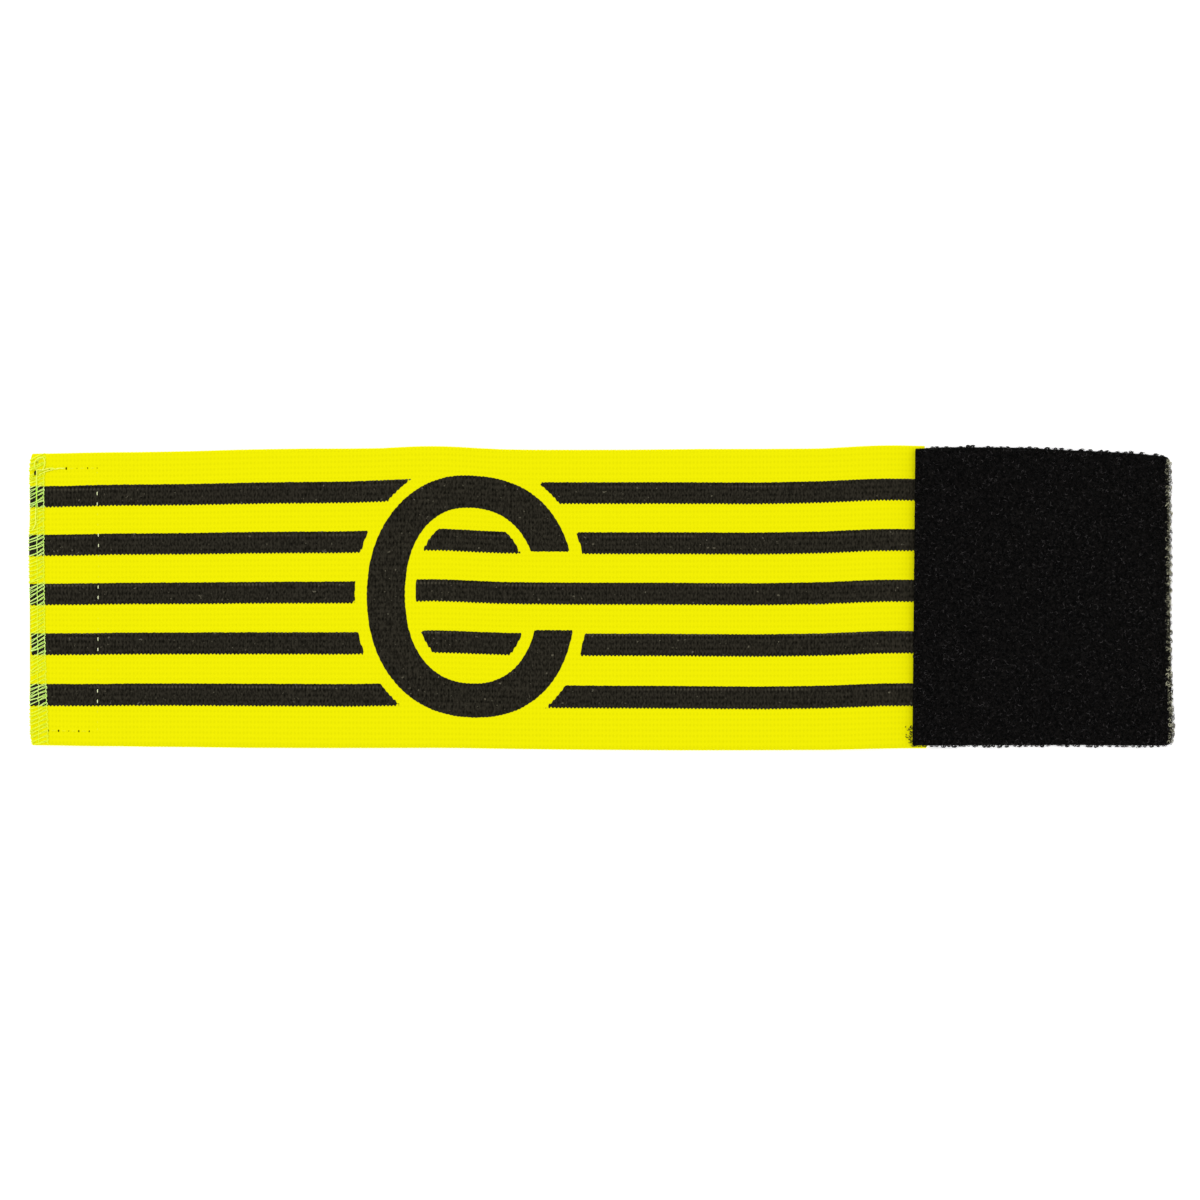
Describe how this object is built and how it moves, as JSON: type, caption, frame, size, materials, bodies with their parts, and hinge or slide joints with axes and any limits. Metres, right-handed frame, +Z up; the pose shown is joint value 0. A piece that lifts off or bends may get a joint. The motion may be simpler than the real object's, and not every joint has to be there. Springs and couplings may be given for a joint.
{
  "type": "captain armband",
  "caption": "Wide woven elastic armband laid open flat, printed with stripes and a letter C; a hook tape under one end fastens to a loop patch on the other round the upper arm.",
  "frame": {"origin": "on the table, under the middle of the armband's overall length and width", "axes": "+X runs along the band from the hook tape's end to the loop patch's end, +Y across it towards the top of the printed letter, +Z up out of the printed face"},
  "size_m": [0.3426, 0.0914, 0.0036],
  "materials": {
    "elastic": "woven ribbed elastic, neon yellow, matt",
    "print": "black ink printed into the weave, matt",
    "loop_fabric": "brushed loop pile, black, matt",
    "hook_tape": "woven tape with moulded hooks, black, slight sheen",
    "thread": "overlocking and lockstitch thread, pale neon yellow"
  },
  "bodies": {
    "root": {"elastic_band": "elastic", "loop_patch": "loop_fabric", "hook_tape": "hook_tape", "captain_letter": "print", "stripe_1_left": "print", "stripe_1_right": "print", "stripe_2_left": "print", "stripe_2_middle": "print", "stripe_2_right": "print", "stripe_3_left": "print", "stripe_3_right": "print", "stripe_4_left": "print", "stripe_4_middle": "print", "stripe_4_right": "print", "stripe_5_left": "print", "stripe_5_right": "print"}
  },
  "joints": []
}
